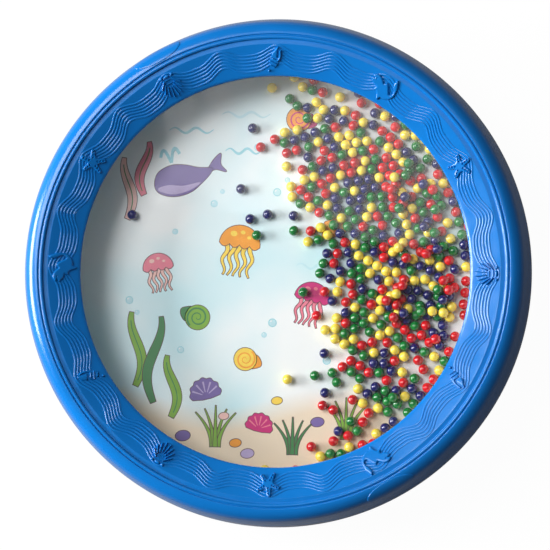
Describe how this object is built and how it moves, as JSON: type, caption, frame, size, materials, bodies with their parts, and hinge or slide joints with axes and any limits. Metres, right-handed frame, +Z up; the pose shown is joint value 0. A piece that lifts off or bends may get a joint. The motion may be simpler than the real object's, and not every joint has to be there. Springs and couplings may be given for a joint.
{
  "type": "ocean drum",
  "caption": "Round hand-held ocean drum: a moulded ring frame with a clear head, a printed back head and loose coloured balls that roll between them with a surf sound.",
  "frame": {"origin": "centre of the circle on which the back rim rests, at the bottom of the drum", "axes": "+Z up along the drum's axis, from the printed head to the clear head; +Y towards the top of the picture"},
  "size_m": [0.246, 0.246, 0.046],
  "materials": {
    "rim_plastic": "glossy moulded",
    "hoop_plastic": "satin moulded",
    "clear_sheet": "clear glossy sheet",
    "printed_sheet": "printed sheet",
    "red_ball": "glossy",
    "yellow_ball": "glossy",
    "green_ball": "glossy",
    "blue_ball": "glossy"
  },
  "bodies": {
    "drum": {"front_rim": "rim_plastic", "back_rim": "rim_plastic", "chamber_hoop": "hoop_plastic", "clear_head": "clear_sheet", "printed_head": "printed_sheet"},
    "core_balls": {"red_balls_core": "red_ball", "yellow_balls_core": "yellow_ball", "green_balls_core": "green_ball", "blue_balls_core": "blue_ball"},
    "inner_balls": {"red_balls_inner": "red_ball", "yellow_balls_inner": "yellow_ball", "green_balls_inner": "green_ball", "blue_balls_inner": "blue_ball"},
    "outer_balls": {"red_balls_outer": "red_ball", "yellow_balls_outer": "yellow_ball", "green_balls_outer": "green_ball", "blue_balls_outer": "blue_ball"}
  },
  "joints": [
    {"name": "ball_lift", "type": "slide", "parent": "drum", "child": "core_balls", "axis": [0, 0, 1], "range_m": [0, 0.0145]},
    {"name": "inner_swirl", "type": "hinge", "parent": "core_balls", "child": "inner_balls", "pos_m": [0, 0, 0.0135], "axis": [0, 0, 1], "continuous": true},
    {"name": "outer_swirl", "type": "hinge", "parent": "core_balls", "child": "outer_balls", "pos_m": [0, 0, 0.0135], "axis": [0, 0, 1], "continuous": true}
  ]
}
